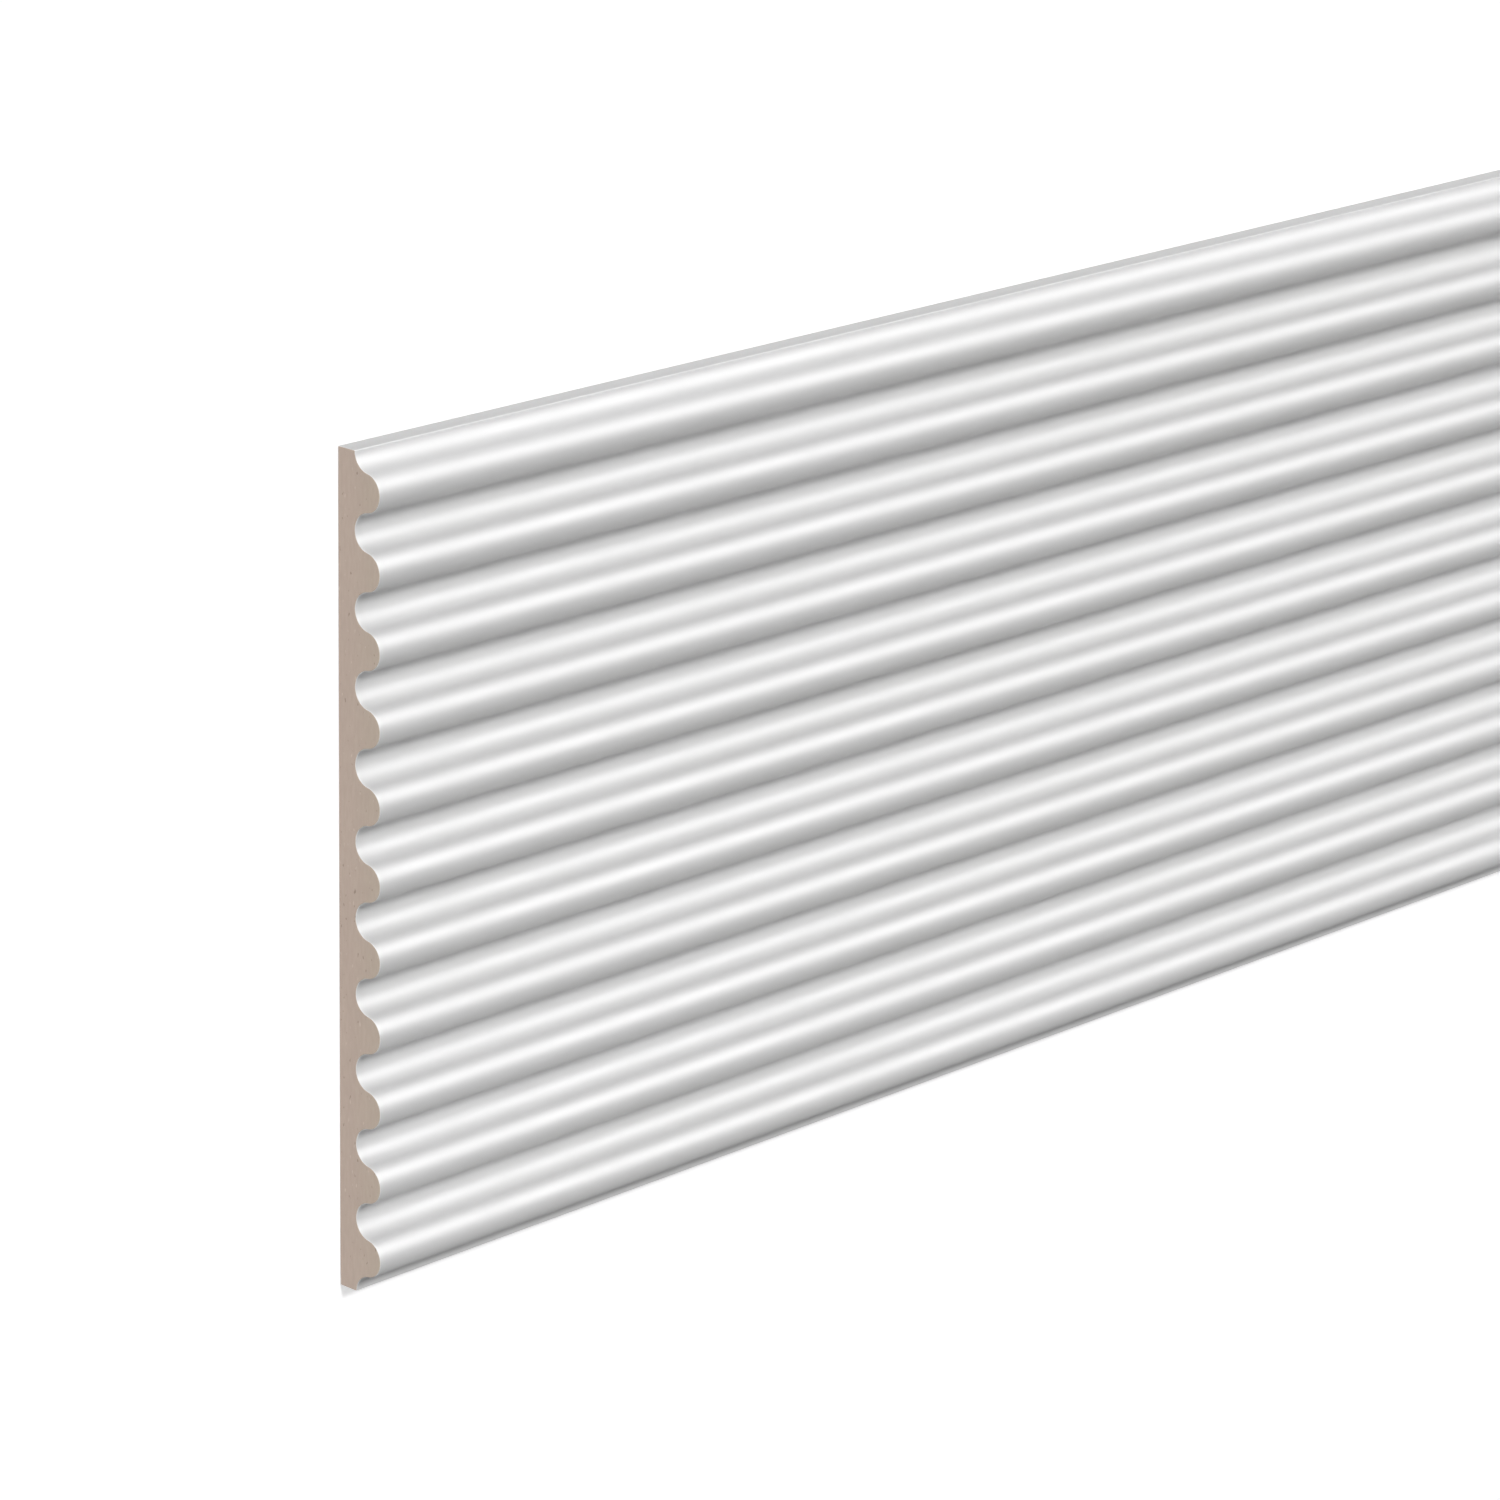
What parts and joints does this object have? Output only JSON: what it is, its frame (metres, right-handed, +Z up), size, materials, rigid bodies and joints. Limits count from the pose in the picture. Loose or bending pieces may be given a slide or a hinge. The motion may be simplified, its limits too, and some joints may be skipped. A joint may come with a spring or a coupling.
{
  "type": "wall panel",
  "caption": "Long flat-backed fibreboard wall panel with a rounded wave face running its full length, primed white on the face and long edges.",
  "frame": {"origin": "middle of the flat back face, which lies on the floor", "axes": "+X along the panel's length, +Y across its width, +Z up from the back to the wave crests"},
  "size_m": [2.44, 0.24, 0.016],
  "materials": {
    "primed_fibreboard": "smooth matt white primer on the wave face and long edges, raw brown fibreboard on the sawn ends and the back"
  },
  "bodies": {
    "root": {"panel": "primed_fibreboard"}
  },
  "joints": []
}
